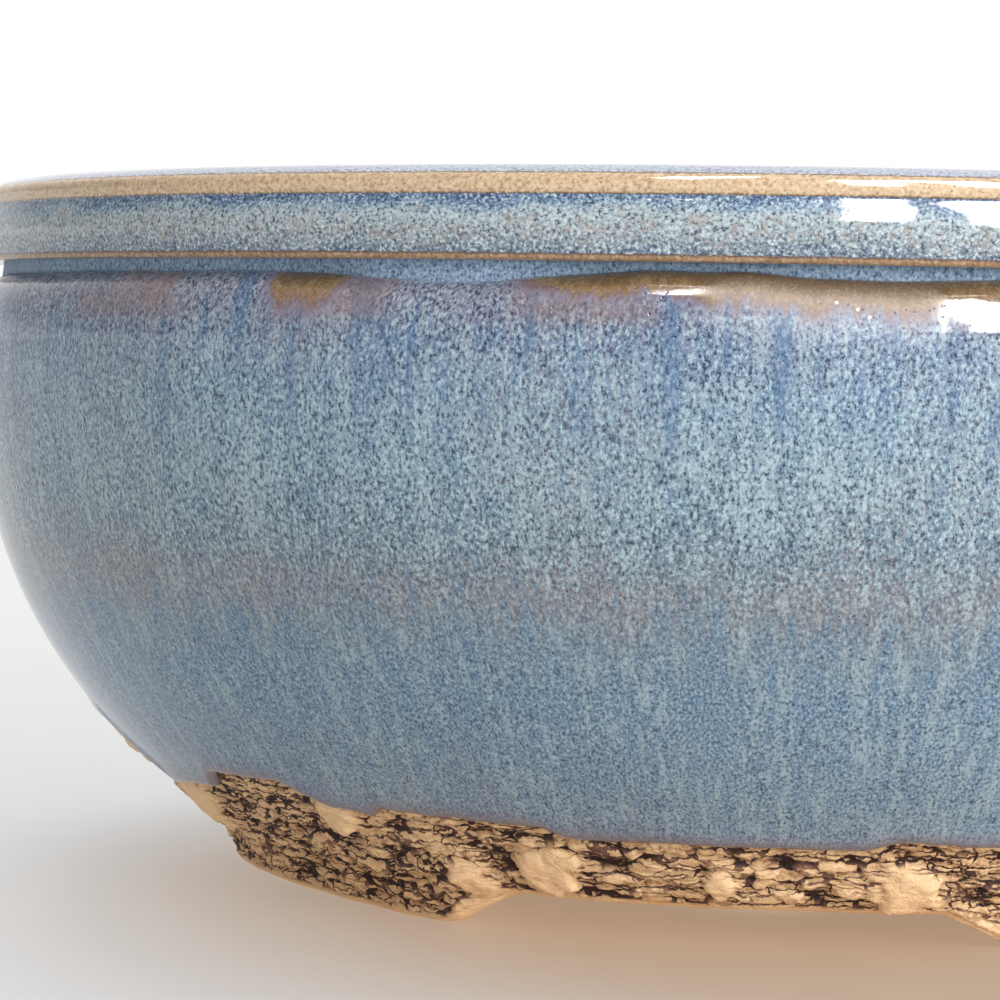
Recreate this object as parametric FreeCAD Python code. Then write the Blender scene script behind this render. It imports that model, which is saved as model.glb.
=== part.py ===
import FreeCAD, Part
import math
import os

# A round, three-footed stoneware bonsai pot: the clay pieces that a potter joins, and the glaze on them.
#
# Millimetres. The origin is on the pot's axis, in the plane that its feet stand on, and +Z is up. The front
# is -Y, under the middle of one of the three arches between the feet. Sections are drawn as (radius, height).

# Overall
HEIGHT = 60.0
BELLY_RADIUS = 76.0          # widest place of the glazed wall
BELLY_HEIGHT = 46.0
WALL_SWEEP = 51.0            # radius of the arc that the wall follows from the shoulder down to the feet

# Wall and glaze
WALL_THICKNESS = 6.0
WALL_GLAZE = 0.8
RIM_GLAZE = 0.5
GLAZE_LINE = 9.8             # the glaze stops here, above the bare foot ring
GLAZE_ROLL = 0.25            # how far the thick lower edge of the glaze bulges
INNER_GLAZE_LINE = 46.5      # the rim's glaze runs down the inside to here

# Neck and rim collar
SHOULDER_HEIGHT = 50.2       # the wall starts to turn in to the neck
SHOULDER_BULGE = 0.75
NECK_HEIGHT = 51.5           # the neck starts to rise
NECK_RADIUS = 72.6
COLLAR_JOINT = 52.8          # the collar is joined to the thrown wall half way up the neck
COLLAR_UNDERSIDE = 53.7
COLLAR_RADIUS = 74.4         # lower arris of the collar
COLLAR_BULGE = 0.45
GROOVE_HEIGHT = 57.7         # shallow groove between the collar's roll and the bead above it
GROOVE_RADIUS = 74.2
BEAD_HEIGHT = 59.1           # top of the bead, where the lip starts
BEAD_BULGE = 0.3
LIP_CREST_RADIUS = 71.3      # the lip is level here, at the full height
LIP_INNER_HEIGHT = 56.8
INNER_SHOULDER_SWEEP = 22.0  # radius of the arc that draws the inside in under the rim

# Floor, foot ring and feet
FLOOR_TOP = 11.0
FLOOR_UNDERSIDE = 5.0
HEEL_FILLET = 10.0           # between the inside of the wall and the floor
LEDGE_RADIUS = 42.0          # the foot ring carries the floor on a ledge
ARCH_HEIGHT = 3.0            # underside of the foot ring between the feet
FOOT_COUNT = 3
FOOT_OUTER_RADIUS = 49.2     # at the ground
FOOT_INNER_RADIUS = 42.6
FOOT_EDGE = 0.6              # rounding of the feet at the ground
ARCH_WIDTH_GROUND = 42.0
ARCH_WIDTH_TOP = 34.0        # the feet's ends slope, as a knife cuts them

# Holes through the floor
DRAIN_RADIUS = 7.0
DRAIN_CIRCLE = 24.0
ANCHOR_HOLE_RADIUS = 2.0     # for the wires that tie a tree down
ANCHOR_CIRCLE = 33.0

FRONT = -90.0                # azimuth of the front arch, in degrees from +X

Vec = FreeCAD.Vector
ORIGIN = Vec(0, 0, 0)
AXIS = Vec(0, 0, 1)
WALL_CENTRE = BELLY_RADIUS - WALL_SWEEP
CLAY_SWEEP = WALL_SWEEP - WALL_GLAZE
INNER_SWEEP = CLAY_SWEEP - WALL_THICKNESS
INNER_TOP_CENTRE = WALL_CENTRE + INNER_SWEEP - INNER_SHOULDER_SWEEP
FLOOR_THICKNESS = FLOOR_TOP - FLOOR_UNDERSIDE

# The heel's fillet touches the inside of the wall and the top of the floor, where its centre is above the rim
# of the floor disc.
HEEL_CENTRE_HEIGHT = FLOOR_TOP + HEEL_FILLET
HEEL_REACH = INNER_SWEEP - HEEL_FILLET
FLOOR_RADIUS = WALL_CENTRE + math.sqrt(HEEL_REACH ** 2 - (BELLY_HEIGHT - HEEL_CENTRE_HEIGHT) ** 2)


# Sections

def point(radius, height):
    return Vec(radius, 0, height)


def on_arc(centre_radius, sweep, height):
    """The point at a height on an arc whose centre is at the belly's height."""
    return (centre_radius + math.sqrt(sweep ** 2 - (height - BELLY_HEIGHT) ** 2), height)


def line(start, end):
    return Part.makeLine(point(*start), point(*end))


def arc(start, middle, end):
    return Part.Arc(point(*start), point(*middle), point(*end)).toShape()


def belly_arc(centre_radius, sweep, low, high):
    """The stretch between two heights of an arc whose centre is at the belly's height."""
    return arc(*(on_arc(centre_radius, sweep, height) for height in (low, (low + high) / 2, high)))


def bulged(start, end, bulge):
    """An arc that bulges to the right of the way from its start to its end."""
    length = math.dist(start, end)
    right = ((end[1] - start[1]) / length, (start[0] - end[0]) / length)
    middle = [(a + b) / 2 + bulge * side for a, b, side in zip(start, end, right)]
    return arc(start, middle, end)


def crest_arc(start, end, crest):
    """An arc up to or down from the lip's crest, which is one of its ends and where it is level."""
    other = end if start == crest else start
    slope = math.atan2(crest[1] - other[1], abs(crest[0] - other[0]))
    return bulged(start, end, math.dist(start, end) / 2 * math.tan(slope / 2))


def revolved(edges):
    """The solid of revolution of a closed section."""
    section = Part.Face(Part.Wire(Part.sortEdges(edges)[0]))
    return section.revolve(ORIGIN, AXIS, 360)


def neck_edges(offset):
    """Shoulder and neck, from the wall's arc up to the collar's joint, offset outwards by the glaze."""
    shoulder = on_arc(WALL_CENTRE, CLAY_SWEEP + offset, SHOULDER_HEIGHT)
    neck = (NECK_RADIUS + offset, NECK_HEIGHT + offset)
    return [
        bulged(shoulder, neck, SHOULDER_BULGE),
        line(neck, (NECK_RADIUS + offset, COLLAR_JOINT)),
    ]


def collar_edges(offset):
    """From the collar's joint round its arris, roll, bead and lip to the inside, offset by the glaze."""
    neck = (NECK_RADIUS + offset, COLLAR_JOINT)
    under = (NECK_RADIUS + offset, COLLAR_UNDERSIDE - offset)
    arris = (COLLAR_RADIUS + offset, COLLAR_UNDERSIDE - offset)
    groove = (GROOVE_RADIUS + offset, GROOVE_HEIGHT)
    bead = (GROOVE_RADIUS + offset, BEAD_HEIGHT)
    crest = (LIP_CREST_RADIUS, HEIGHT - RIM_GLAZE + offset)
    inner = on_arc(INNER_TOP_CENTRE, INNER_SHOULDER_SWEEP - offset, LIP_INNER_HEIGHT)
    return [
        line(neck, under),
        line(under, arris),
        bulged(arris, groove, COLLAR_BULGE),
        bulged(groove, bead, BEAD_BULGE),
        crest_arc(bead, crest, crest),
        crest_arc(crest, inner, crest),
    ]


# Clay pieces

def bowl_wall():
    """The thrown wall, from its seat on the foot ring to half way up the neck, with the heel's fillet inside."""
    outer_seat = on_arc(WALL_CENTRE, CLAY_SWEEP, GLAZE_LINE)
    inner_seat = (FLOOR_RADIUS, GLAZE_LINE)
    floor_edge = (FLOOR_RADIUS, FLOOR_TOP)
    lean = math.asin((BELLY_HEIGHT - HEEL_CENTRE_HEIGHT) / HEEL_REACH)
    heel_top = on_arc(WALL_CENTRE, INNER_SWEEP, BELLY_HEIGHT - INNER_SWEEP * math.sin(lean))
    halfway = (lean + math.pi / 2) / 2
    heel_middle = (
        FLOOR_RADIUS + HEEL_FILLET * math.cos(halfway),
        HEEL_CENTRE_HEIGHT - HEEL_FILLET * math.sin(halfway),
    )
    return revolved([
        belly_arc(WALL_CENTRE, CLAY_SWEEP, GLAZE_LINE, SHOULDER_HEIGHT),
        *neck_edges(0),
        line((NECK_RADIUS, COLLAR_JOINT), on_arc(INNER_TOP_CENTRE, INNER_SHOULDER_SWEEP, COLLAR_JOINT)),
        belly_arc(INNER_TOP_CENTRE, INNER_SHOULDER_SWEEP, BELLY_HEIGHT, COLLAR_JOINT),
        belly_arc(WALL_CENTRE, INNER_SWEEP, heel_top[1], BELLY_HEIGHT),
        arc(heel_top, heel_middle, floor_edge),
        line(floor_edge, inner_seat),
        line(inner_seat, outer_seat),
    ])


def rim_collar():
    """The flanged rim that is added on the neck."""
    inner_joint = on_arc(INNER_TOP_CENTRE, INNER_SHOULDER_SWEEP, COLLAR_JOINT)
    return revolved([
        *collar_edges(0),
        belly_arc(INNER_TOP_CENTRE, INNER_SHOULDER_SWEEP, COLLAR_JOINT, LIP_INNER_HEIGHT),
        line(inner_joint, (NECK_RADIUS, COLLAR_JOINT)),
    ])


def foot_ring():
    """The bare, rough ring under the wall, with the ledge that carries the floor."""
    outer_top = on_arc(WALL_CENTRE, CLAY_SWEEP, GLAZE_LINE)
    outer_bottom = on_arc(WALL_CENTRE, CLAY_SWEEP, ARCH_HEIGHT)
    corners = [
        outer_top,
        (FLOOR_RADIUS, GLAZE_LINE),
        (FLOOR_RADIUS, FLOOR_UNDERSIDE),
        (LEDGE_RADIUS, FLOOR_UNDERSIDE),
        (LEDGE_RADIUS, ARCH_HEIGHT),
        outer_bottom,
    ]
    sides = [line(start, end) for start, end in zip(corners, corners[1:])]
    return revolved([belly_arc(WALL_CENTRE, CLAY_SWEEP, ARCH_HEIGHT, GLAZE_LINE), *sides])


def arch_cut(azimuth):
    """The space between two feet, cut straight outwards from the axis, wider at the ground than at the top."""
    slope = (ARCH_WIDTH_GROUND - ARCH_WIDTH_TOP) / 2 / ARCH_HEIGHT
    below = 1.0
    half_top = ARCH_WIDTH_TOP / 2
    half_below = half_top + slope * (ARCH_HEIGHT + below)
    corners = [
        Vec(0, -half_top, ARCH_HEIGHT),
        Vec(0, -half_below, -below),
        Vec(0, half_below, -below),
        Vec(0, half_top, ARCH_HEIGHT),
    ]
    side = Part.Face(Part.makePolygon([*corners, corners[0]]))
    cut = side.extrude(Vec(BELLY_RADIUS, 0, 0))
    cut.rotate(ORIGIN, AXIS, azimuth)
    return cut


def feet():
    """The three feet, by name: what is left of a low ring once the arches are cut out of it."""
    top_outer = on_arc(WALL_CENTRE, CLAY_SWEEP, ARCH_HEIGHT)
    top_inner = (LEDGE_RADIUS, ARCH_HEIGHT)
    edge_outer = (FOOT_OUTER_RADIUS, FOOT_EDGE)
    edge_inner = (FOOT_INNER_RADIUS, FOOT_EDGE)
    ground_outer = (FOOT_OUTER_RADIUS - FOOT_EDGE, 0)
    ground_inner = (FOOT_INNER_RADIUS + FOOT_EDGE, 0)
    ring = revolved([
        line(top_outer, edge_outer),
        bulged(ground_outer, edge_outer, FOOT_EDGE / 5),
        line(ground_outer, ground_inner),
        bulged(edge_inner, ground_inner, FOOT_EDGE / 5),
        line(edge_inner, top_inner),
        line(top_inner, top_outer),
    ])
    pitch = 360 / FOOT_COUNT
    for arch in range(FOOT_COUNT):
        ring = ring.cut(arch_cut(FRONT + pitch * arch))
    azimuths = {"foot_right": FRONT + pitch / 2, "foot_back": FRONT + pitch * 1.5, "foot_left": FRONT - pitch / 2}
    found = {}
    for name, azimuth in azimuths.items():
        towards = Vec(math.cos(math.radians(azimuth)), math.sin(math.radians(azimuth)), 0)
        found[name] = max(ring.Solids, key=lambda solid: solid.CenterOfMass.dot(towards))
    return found


def around(radius, first_azimuth):
    """One centre for each foot, evenly spaced on a circle, level with the floor's underside."""
    angles = [math.radians(first_azimuth + 360 / FOOT_COUNT * place) for place in range(FOOT_COUNT)]
    return [Vec(radius * math.cos(angle), radius * math.sin(angle), FLOOR_UNDERSIDE) for angle in angles]


def floor_slab():
    """The floor disc, with a drain hole behind each arch and an anchor wire hole behind each foot."""
    slab = Part.makeCylinder(FLOOR_RADIUS, FLOOR_THICKNESS, Vec(0, 0, FLOOR_UNDERSIDE))
    for centre in around(DRAIN_CIRCLE, FRONT):
        slab = slab.cut(Part.makeCylinder(DRAIN_RADIUS, FLOOR_THICKNESS, centre))
    for centre in around(ANCHOR_CIRCLE, FRONT + 180 / FOOT_COUNT):
        slab = slab.cut(Part.makeCylinder(ANCHOR_HOLE_RADIUS, FLOOR_THICKNESS, centre))
    return slab


# Glaze

def wall_glaze():
    """The coat on the outside of the wall, from its thick lower edge over the shoulder to the collar's joint."""
    return revolved([
        belly_arc(WALL_CENTRE, WALL_SWEEP, GLAZE_LINE, SHOULDER_HEIGHT),
        *neck_edges(WALL_GLAZE),
        line((NECK_RADIUS + WALL_GLAZE, COLLAR_JOINT), (NECK_RADIUS, COLLAR_JOINT)),
        *neck_edges(0),
        belly_arc(WALL_CENTRE, CLAY_SWEEP, GLAZE_LINE, SHOULDER_HEIGHT),
        bulged(
            on_arc(WALL_CENTRE, CLAY_SWEEP, GLAZE_LINE),
            on_arc(WALL_CENTRE, WALL_SWEEP, GLAZE_LINE),
            GLAZE_ROLL),
    ])


def rim_glaze():
    """The coat on the collar and lip, which runs a little way down the inside."""
    inner_sweep = INNER_SHOULDER_SWEEP - RIM_GLAZE
    return revolved([
        *collar_edges(RIM_GLAZE),
        belly_arc(INNER_TOP_CENTRE, inner_sweep, INNER_GLAZE_LINE, LIP_INNER_HEIGHT),
        line(
            on_arc(INNER_TOP_CENTRE, inner_sweep, INNER_GLAZE_LINE),
            on_arc(INNER_TOP_CENTRE, INNER_SHOULDER_SWEEP, INNER_GLAZE_LINE)),
        belly_arc(INNER_TOP_CENTRE, INNER_SHOULDER_SWEEP, INNER_GLAZE_LINE, LIP_INNER_HEIGHT),
        *collar_edges(0),
        line((NECK_RADIUS, COLLAR_JOINT), (NECK_RADIUS + RIM_GLAZE, COLLAR_JOINT)),
    ])


def main():
    parts = {
        "bowl_wall": bowl_wall(),
        "rim_collar": rim_collar(),
        "foot_ring": foot_ring(),
        "floor_slab": floor_slab(),
        **feet(),
        "wall_glaze": wall_glaze(),
        "rim_glaze": rim_glaze(),
    }
    os.makedirs("parts", exist_ok=True)
    for name, shape in parts.items():
        shape.exportStep(f"parts/{name}.step")
        print(f"{name}: valid {shape.isValid()}, {shape.Volume / 1000:.2f} cm3")


main()
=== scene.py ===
import itertools
import math

import bpy
import numpy as np
from mathutils import Matrix, Vector

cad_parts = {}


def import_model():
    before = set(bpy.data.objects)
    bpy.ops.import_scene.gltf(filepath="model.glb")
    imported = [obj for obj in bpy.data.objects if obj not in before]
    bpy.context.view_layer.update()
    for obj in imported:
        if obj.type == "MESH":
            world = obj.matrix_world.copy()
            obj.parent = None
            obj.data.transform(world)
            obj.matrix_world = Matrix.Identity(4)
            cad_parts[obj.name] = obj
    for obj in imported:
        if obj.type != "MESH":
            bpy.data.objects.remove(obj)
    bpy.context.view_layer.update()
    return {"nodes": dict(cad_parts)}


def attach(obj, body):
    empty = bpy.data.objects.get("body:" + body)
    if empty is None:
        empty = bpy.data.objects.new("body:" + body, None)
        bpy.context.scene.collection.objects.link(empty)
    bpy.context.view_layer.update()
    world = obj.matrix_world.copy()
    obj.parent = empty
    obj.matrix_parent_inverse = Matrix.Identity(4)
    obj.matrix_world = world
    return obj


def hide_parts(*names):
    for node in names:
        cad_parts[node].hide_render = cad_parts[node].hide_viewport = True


# The fired pot around its CAD frame: glaze with its runs and breaks, a bark-like foot and a thrown inside.
# Lengths are millimetres, which make_mesh turns into metres. The lights and the table's disc are in metres.
# Azimuths are degrees from +X, and the front is at -90. Sections are (radius, height).

MM = 0.001

# Dimensions of the frame that the pieces follow
BELLY_RADIUS = 76.0
BELLY_HEIGHT = 46.0
CLAY_SWEEP = 50.2
WALL_CENTRE = 25.0
INNER_SWEEP = 44.2
INNER_SHOULDER_SWEEP = 22.0
INNER_TOP_CENTRE = WALL_CENTRE + INNER_SWEEP - INNER_SHOULDER_SWEEP
FLOOR_TOP = 11.0
FLOOR_UNDERSIDE = 5.0
LEDGE_RADIUS = 42.0
HEEL_FILLET = 10.0
ARCH_HEIGHT = 3.0
ARCH_AZIMUTHS = (-90, 30, 150)
FOOT_INNER_RADIUS = 42.6
LIP_END_HEIGHT = 56.8

# The rough foot, whose arches have ends that slope a little more than the frame's
FOOT_RADIUS = 50.0
ARCH_HALF_WIDTH_TOP = 16.1
ARCH_HALF_WIDTH_GROUND = 21.8
# The glaze: how thick it is, and how much thicker where it ran down to its lower edge
GLAZE_THICKNESS = 0.72
GLAZE_SWELL = 0.20
# How far up the neck the wall's glaze goes, and how far down the inside the rim's glaze ran
NECK_TOP = 53.1
RIM_RUN_HEIGHT = 47.0
# The shoulder between the belly and the neck, where it is soft and where it is a sharp ridge
SOFT_SHOULDER_WIDTH = 5.0
RIDGE_WIDTH = 3.7
SHOULDER_DEPTH = 2.3
RIDGE_EXTRA_DEPTH = 0.5
# The rings that the potter's fingers left inside
THROWING_PITCH = 3.4
THROWING_DEPTH = 0.20

# Where the photographer stands, and the camera
CAMERA_AZIMUTH = -84.3
CAMERA_DISTANCE = 332.6
CAMERA_HEIGHT = 48.0
CAMERA_PITCH = 0.0478
CAMERA_YAW = 0.0829
CAMERA_ROLL = 0.0190
CAMERA_LENS = 129.6

# The studio is dimmer on one side of the camera: how far round that is, and how bright it is there
SHADE_AZIMUTH = -65
SHADE_LEVEL = 0.2
# The middle of the painted warm shadow and glow on the table, which stand in for the pot's shade and the
# warm light that the clay casts on the table
PAINTED_GLOW_CENTRE = (18.0, -30.0, 0.0)


# Numbers ----------------------------------------------------------------------------------------------

def azimuths(count):
    """A column of evenly spaced turns round the axis, in radians."""
    return (np.arange(count) * 2 * np.pi / count)[:, None]


def smoothstep(low, high, value):
    share = np.clip((value - low) / (high - low), 0, 1)
    return share * share * (3 - 2 * share)


def blend(a, b, share):
    return a + (b - a) * share


def hashed(cell, seed):
    """A repeatable number from 0 to 1 for each whole-number cell."""
    mixed = (cell[..., 0] * 73856093) ^ (cell[..., 1] * 19349663)
    mixed = mixed ^ (cell[..., 2] * 83492791) ^ (seed * 40503)
    mixed &= 0xFFFFFFFF
    mixed = ((mixed ^ (mixed >> 15)) * 2246822519) & 0xFFFFFFFF
    mixed = ((mixed ^ (mixed >> 13)) * 3266489917) & 0xFFFFFFFF
    return ((mixed ^ (mixed >> 16)) & 0xFFFFFF) / 0xFFFFFF


def noise(points, size, seed):
    """Smooth noise from -1 to 1 with features of the given size, one number or one for each axis."""
    places = points / np.asarray(size)
    cell = np.floor(places).astype(np.int64)
    share = places - cell
    share = share * share * (3 - 2 * share)
    total = np.zeros(points.shape[:-1])
    for corner in itertools.product((0, 1), repeat=3):
        weight = np.prod(np.where(corner, share, 1 - share), axis=-1)
        total += weight * hashed(cell + np.array(corner), seed)
    return total * 2 - 1


def rough(points, size, seed, octaves=3):
    """Noise with finer and fainter noise on it."""
    size = np.asarray(size)
    return sum(noise(points, size / 2 ** step, seed + step) / 2 ** step for step in range(octaves))


def cells(points, size, seed):
    """Splits space into uneven cells: how far each point is inside its cell, and a number for that cell."""
    places = points / np.asarray(size)
    cell = np.floor(places).astype(np.int64)
    nearest = np.full(places.shape[:-1], 9.0)
    second = nearest.copy()
    value = np.zeros(places.shape[:-1])
    for offset in itertools.product((-1, 0, 1), repeat=3):
        other = cell + np.array(offset)
        centre = other + np.stack([hashed(other, seed + axis) for axis in range(3)], axis=-1)
        distance = np.linalg.norm(centre - places, axis=-1)
        closer = distance < nearest
        second = np.where(closer, nearest, np.minimum(second, distance))
        value = np.where(closer, hashed(other, seed + 3), value)
        nearest = np.where(closer, distance, nearest)
    return second - nearest, value


def around_axis(radius, height, theta):
    return np.stack(np.broadcast_arrays(radius * np.cos(theta), radius * np.sin(theta), height), axis=-1)


# Meshes -----------------------------------------------------------------------------------------------

def ring_mesh(name, loops, fields):
    """A closed ring: loops[azimuth, place] are points of one closed section loop after another."""
    around, along = loops.shape[:2]
    column = np.arange(around)[:, None]
    row = np.arange(along)[None, :]
    after, above = (column + 1) % around, (row + 1) % along
    corners = ((column, row), (after, row), (after, above), (column, above))
    quads = np.stack([turn * along + place for turn, place in corners], axis=-1).reshape(-1, 4)
    flat = {key: value.reshape(-1, *value.shape[2:]) for key, value in fields.items()}
    return make_mesh(name, loops.reshape(-1, 3), quads, flat)


def closed_loops(around, *sections):
    """Joins the stretches of a section, each a grid of points or one list of (radius, height) for all."""
    theta = azimuths(around)
    grids = [section if section.ndim == 3 else around_axis(section[None, :, 0], section[None, :, 1], theta)
             for section in sections]
    return np.concatenate(grids, axis=1)


def make_mesh(name, points, faces, fields):
    """An object of the given points in millimetres, with a number or a vector at each for the materials."""
    mesh = bpy.data.meshes.new(name)
    mesh.from_pydata((points * MM).tolist(), [], faces.tolist())
    for key, values in fields.items():
        kind, slot = ("FLOAT_VECTOR", "vector") if values.ndim == 2 else ("FLOAT", "value")
        layer = mesh.attributes.new(key, kind, "POINT")
        layer.data.foreach_set(slot, values.astype(np.float32).ravel())
    mesh.polygons.foreach_set("use_smooth", np.ones(len(mesh.polygons), bool))
    mesh.update()
    piece = bpy.data.objects.new(name, mesh)
    bpy.context.scene.collection.objects.link(piece)
    return piece


# Shapes -----------------------------------------------------------------------------------------------

GLAZE_ROWS = 84
SHOULDER_ROWS = 24
GLAZE_COLUMNS = 816

# The glaze's lower edge round the pot: azimuth from the camera's side, height
GLAZE_EDGE = (
    (-180, 9.6), (-160, 8.9), (-142, 10.2), (-139, 9.2), (-118, 9.4), (-104, 10.5), (-84, 9.8), (-79, 13.0),
    (-70, 13.2), (-67, 11.2), (-63, 8.5), (-53, 9.6), (-51, 11.0), (-41.5, 11.2), (-37.5, 9.5),
    (-33.4, 9.2), (-32.4, 10.1), (-18.5, 9.8), (-16.6, 9.0), (-6, 9.2), (5.5, 9.0), (7.6, 9.8), (22, 9.6),
    (38, 8.8), (47, 9.2), (49, 10.4), (66, 9.8), (84, 8.9), (104, 9.6), (121, 9.1), (124, 10.3),
    (144, 9.7), (162, 10.1), (180, 9.6),
)
# The crease between the shoulder and the neck, in the same way
CREASE = (
    (-180, 51.9), (-150, 51.4), (-120, 52.1), (-90, 51.5), (-60, 51.8), (-34, 51.9), (-29, 51.8),
    (-21, 51.2), (-17.5, 51.4), (-13, 51.9), (-9, 52.3), (-3, 52.3), (1, 51.9), (6, 51.8), (11, 52.0),
    (30, 51.6), (60, 52.1), (90, 51.6), (120, 52.0), (150, 51.6), (180, 51.9),
)
# How far the foot bulges beyond the frame's smooth ring, in the same way
FOOT_BULGE = (
    (-180, 0.8), (-140, 0.2), (-100, 1.0), (-80, 1.3), (-66, 1.4), (-52, 1.0), (-42, 1.6), (-36, 2.7),
    (-30, 3.4), (-24, 1.7), (-15, 2.2), (-4, 1.6), (2, 1.5), (8, 2.1), (14, 2.6), (24, 1.6), (45, 0.4),
    (80, 1.1), (120, 0.2), (150, 1.3), (180, 0.8),
)
# Lumps of the rough clay that are worn smooth: azimuth from the camera's side, height, half width
WORN_LUMPS = (
    (-71.5, 11.5, 1.9), (-62, 7.5, 3.2), (-38.5, 8.8, 1.9), (-27, 4.2, 1.8), (-19.9, 5.8, 2.6),
    (-5.8, 5.4, 1.2), (9.4, 5.2, 2.7), (31, 6.5, 2.4), (58, 4.6, 2.8), (93, 7.0, 2.6), (127, 5.5, 3.0),
    (160, 4.8, 2.2), (-171, 6.8, 2.7), (-140, 5.0, 3.0), (-108, 7.2, 2.2),
)


def view_azimuth(theta):
    """Degrees round the pot from the side that the camera is on, from -180 to 180, rightwards."""
    return (np.degrees(theta) - CAMERA_AZIMUTH + 180) % 360 - 180


def along_curve(theta, curve):
    """A height for each azimuth, from a list of (azimuth from the camera's side, height)."""
    known = np.array(curve)
    return np.interp(view_azimuth(theta), known[:, 0], known[:, 1])


def glaze_edge(theta):
    """The height where the glaze stops."""
    ring = around_axis(60.0, 0.0, theta)
    return along_curve(theta, GLAZE_EDGE) + 0.14 * rough(ring, 5.0, 11) + 0.05 * noise(ring, 1.2, 12)


def crease_height(theta):
    """The height of the crease where the shoulder meets the neck."""
    ring = around_axis(70.0, 0.0, theta)
    return along_curve(theta, CREASE) + 0.12 * noise(ring, 9.0, 31) + 0.05 * noise(ring, 3.0, 32)


def knob(theta):
    """A short lump of the shoulder beside the long one, from 0 to 1."""
    return np.exp(-((view_azimuth(theta) + 30) / 3.1) ** 4)


def bare_stretch(theta):
    """The stretch of the shoulder where the glaze is thin and dull far down, from 0 to 1."""
    azimuth = view_azimuth(theta)
    return smoothstep(-7, -3, azimuth) * (1 - smoothstep(6.5, 8.5, azimuth))


def shoulder_ridge(theta):
    """How sharply the shoulder stands out under the collar, from 0 to 1."""
    azimuth = view_azimuth(theta)
    ring = around_axis(70.0, 0.0, theta)
    front = smoothstep(-20, -11, azimuth) * (1 - smoothstep(60, 75, azimuth))
    rest = smoothstep(-0.3, 0.4, noise(ring, 38.0, 21)) * smoothstep(60, 72, abs(azimuth))
    return np.clip(np.maximum(np.maximum(0.9 * knob(theta), front), rest), 0, 1)


def wall_lean(height):
    """How far round the wall's arc a height is, in radians up from the belly."""
    return np.arcsin((height - BELLY_HEIGHT) / CLAY_SWEEP)


def way_along(radius, height, start):
    """How far along its section each point is, so that the glaze's streaks keep their length."""
    steps = np.hypot(np.diff(radius, axis=1), np.diff(height, axis=1))
    return start + np.cumsum(np.pad(steps, ((0, 0), (1, 0))), axis=1)


def glaze_relief(clay, slant, below, ridge):
    """How far the glaze stands out from the clay: rolled at its lower edge, lumpy along the ridge."""
    roll = np.sqrt(1 - (1 - np.clip(slant, 0, 1)) ** 2)
    swell = np.exp(-((slant - 1.2) / 1.1) ** 2)
    near_ridge = np.exp(-((below - 1.5) / 1.7) ** 2) * ridge
    out = GLAZE_THICKNESS * roll + GLAZE_SWELL * swell * roll
    out += 0.22 * noise(clay, (26, 26, 18), 41) + 0.10 * noise(clay, (9, 9, 12), 42) * roll
    out += near_ridge * (0.20 * noise(clay, (8, 8, 4), 43) + 0.05 * noise(clay, (2.2, 2.2, 1.6), 44))
    return out


def thin_glaze(theta, clay, below, ridge):
    """Where the glaze is thin below the crease and breaks to tan, from 0 to 1."""
    reach = 1.0 + 0.9 * bare_stretch(theta) + 1.3 * knob(theta)
    reach = reach + 0.6 * noise(clay, (7, 7, 30), 45) + 0.4 * noise(clay, (2.2, 2.2, 30), 46)
    return smoothstep(0.0, 0.9, ridge - 0.15 * below) * (1 - smoothstep(0, reach * 2.7, below))


def wall_glaze():
    """The coat of glaze from its wavy lower edge up to the neck, and back down on the clay."""
    theta = azimuths(GLAZE_COLUMNS)
    ridge = shoulder_ridge(theta)
    edge = glaze_edge(theta)
    crease = crease_height(theta)
    width = blend(SOFT_SHOULDER_WIDTH, RIDGE_WIDTH, ridge)
    lower = (np.arange(GLAZE_ROWS) / GLAZE_ROWS) ** 1.25
    upper = np.arange(SHOULDER_ROWS) / SHOULDER_ROWS
    height = np.concatenate([
        blend(edge, crease - width, lower[None, :]),
        blend(crease - width, crease, np.sin(upper[None, :] * np.pi / 2)),
        blend(crease, NECK_TOP, np.linspace(0, 1, 6)[None, :]),
    ], axis=1)
    lean, low = wall_lean(height), wall_lean(edge)
    slant = CLAY_SWEEP * (lean - low)
    below = crease - height
    clay = around_axis(WALL_CENTRE + CLAY_SWEEP * np.cos(lean), height, theta)

    sweep = CLAY_SWEEP + glaze_relief(clay, slant, below, ridge)
    share = np.clip(1 - below / width, 0, 1)
    inward = (SHOULDER_DEPTH + RIDGE_EXTRA_DEPTH * ridge) * (0.25 * share + 0.75 * share ** 5)
    radius = WALL_CENTRE + sweep * np.cos(lean) - inward
    top = BELLY_HEIGHT + sweep * np.sin(lean)
    outside = around_axis(radius, top, theta)

    back_height = blend(edge, NECK_TOP, np.linspace(1, 0, 9)[None, :-1])
    back_radius = WALL_CENTRE + CLAY_SWEEP * np.cos(wall_lean(back_height))
    back_radius = back_radius - 3.4 * smoothstep(46, 52, back_height)
    inside = around_axis(back_radius, back_height, theta)

    hidden = 0 * back_height
    fields = {
        "height": (height, back_height),
        "flow": (around_axis(BELLY_RADIUS, way_along(radius, top, CLAY_SWEEP * low), theta),
                 around_axis(BELLY_RADIUS, hidden, theta)),
        "edge": (slant, hidden),
        "below": (below, hidden),
        "thin": (thin_glaze(theta, clay, below, ridge), hidden),
        "dull": (bare_stretch(theta) * smoothstep(6.0, 3.5, below), hidden),
    }
    fields = {key: np.concatenate(both, axis=1) for key, both in fields.items()}
    return ring_mesh("glaze_wall", np.concatenate([outside, inside], axis=1), fields)


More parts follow.
